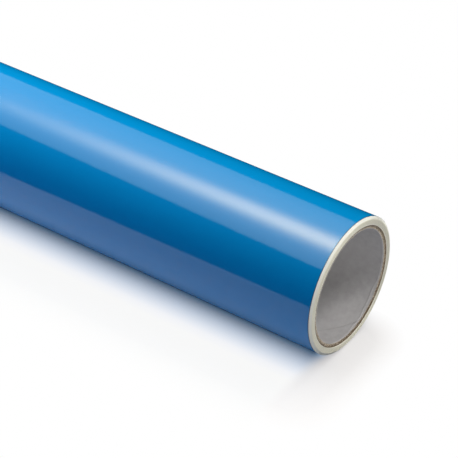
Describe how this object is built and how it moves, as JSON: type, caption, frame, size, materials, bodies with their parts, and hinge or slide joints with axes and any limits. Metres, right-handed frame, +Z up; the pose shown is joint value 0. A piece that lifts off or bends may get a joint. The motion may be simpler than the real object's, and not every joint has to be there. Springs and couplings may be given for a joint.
{
  "type": "roll of sign vinyl",
  "caption": "Long roll of glossy self-adhesive film on a release liner, wound film side out on a paperboard core; the tail unrolls and the film edge peels off its liner.",
  "frame": {"origin": "centre of the core's bore, halfway along the roll", "axes": "+X along the roll's axis, out of one end of the bore; +Z up with the roll lying on its side; +Y to the rear, the side where the web's tail ends"},
  "size_m": [0.61, 0.0926, 0.0924],
  "materials": {
    "vinyl_film": "gloss",
    "adhesive": "clear, tacky",
    "release_liner": "smooth, silicone coated",
    "core_lining": "matt recycled paper",
    "core_board": "cut chipboard",
    "core_cover": "kraft paper",
    "start_tape": "double-sided tissue tape",
    "tail_tape": "translucent tape"
  },
  "bodies": {
    "wound_roll": {"core_lining_ply": "core_lining", "core_board_ply_1": "core_board", "core_board_ply_2": "core_board", "core_board_ply_3": "core_board", "core_cover_ply": "core_cover", "start_tape": "start_tape", "wound_liner": "release_liner", "wound_adhesive": "adhesive", "wound_film": "vinyl_film", "outer_liner": "release_liner", "outer_adhesive": "adhesive", "outer_film": "vinyl_film"},
    "tail_stretch_1": {"tail_liner_1": "release_liner", "tail_adhesive_1": "adhesive", "tail_film_1": "vinyl_film"},
    "tail_stretch_2": {"tail_liner_2": "release_liner", "tail_adhesive_2": "adhesive", "tail_film_2": "vinyl_film"},
    "tail_stretch_3": {"tail_liner_3": "release_liner", "tail_adhesive_3": "adhesive", "tail_film_3": "vinyl_film"},
    "tail_stretch_4": {"tail_liner_4": "release_liner", "tail_adhesive_4": "adhesive", "tail_film_4": "vinyl_film"},
    "tail_stretch_5": {"tail_liner_5": "release_liner", "tail_adhesive_5": "adhesive", "tail_film_5": "vinyl_film"},
    "tail_stretch_6": {"tail_liner_6": "release_liner", "tail_adhesive_6": "adhesive", "tail_film_6": "vinyl_film"},
    "film_edge": {"peel_adhesive": "adhesive", "peel_film": "vinyl_film", "tail_tape_1": "tail_tape", "tail_tape_2": "tail_tape", "tail_tape_3": "tail_tape"}
  },
  "joints": [
    {"name": "unroll_1", "type": "hinge", "parent": "wound_roll", "child": "tail_stretch_1", "pos_m": [0, 0.031, 0.03443], "axis": [1, 0, 0], "range_deg": [0, 12], "stiffness_Nm_per_rad": 0.004},
    {"name": "unroll_2", "type": "hinge", "parent": "tail_stretch_1", "child": "tail_stretch_2", "pos_m": [0, 0.03748, 0.02723], "axis": [1, 0, 0], "range_deg": [0, 12], "stiffness_Nm_per_rad": 0.004},
    {"name": "unroll_3", "type": "hinge", "parent": "tail_stretch_2", "child": "tail_stretch_3", "pos_m": [0, 0.04232, 0.01884], "axis": [1, 0, 0], "range_deg": [0, 12], "stiffness_Nm_per_rad": 0.004},
    {"name": "unroll_4", "type": "hinge", "parent": "tail_stretch_3", "child": "tail_stretch_4", "pos_m": [0, 0.04532, 0.00963], "axis": [1, 0, 0], "range_deg": [0, 12], "stiffness_Nm_per_rad": 0.004},
    {"name": "unroll_5", "type": "hinge", "parent": "tail_stretch_4", "child": "tail_stretch_5", "pos_m": [0, 0.04633, 0], "axis": [1, 0, 0], "range_deg": [0, 12], "stiffness_Nm_per_rad": 0.004},
    {"name": "unroll_6", "type": "hinge", "parent": "tail_stretch_5", "child": "tail_stretch_6", "pos_m": [0, 0.04531, -0.00966], "axis": [1, 0, 0], "range_deg": [0, 12], "stiffness_Nm_per_rad": 0.004},
    {"name": "film_peel", "type": "hinge", "parent": "tail_stretch_6", "child": "film_edge", "pos_m": [0, 0.04495, -0.01124], "axis": [1, 0, 0], "range_deg": [0, 150], "stiffness_Nm_per_rad": 0.004}
  ],
  "couplings": [
    {"joint": "unroll_2", "follows": "unroll_1", "ratio": 1},
    {"joint": "unroll_3", "follows": "unroll_1", "ratio": 1},
    {"joint": "unroll_4", "follows": "unroll_1", "ratio": 1},
    {"joint": "unroll_5", "follows": "unroll_1", "ratio": 1},
    {"joint": "unroll_6", "follows": "unroll_1", "ratio": 1}
  ]
}
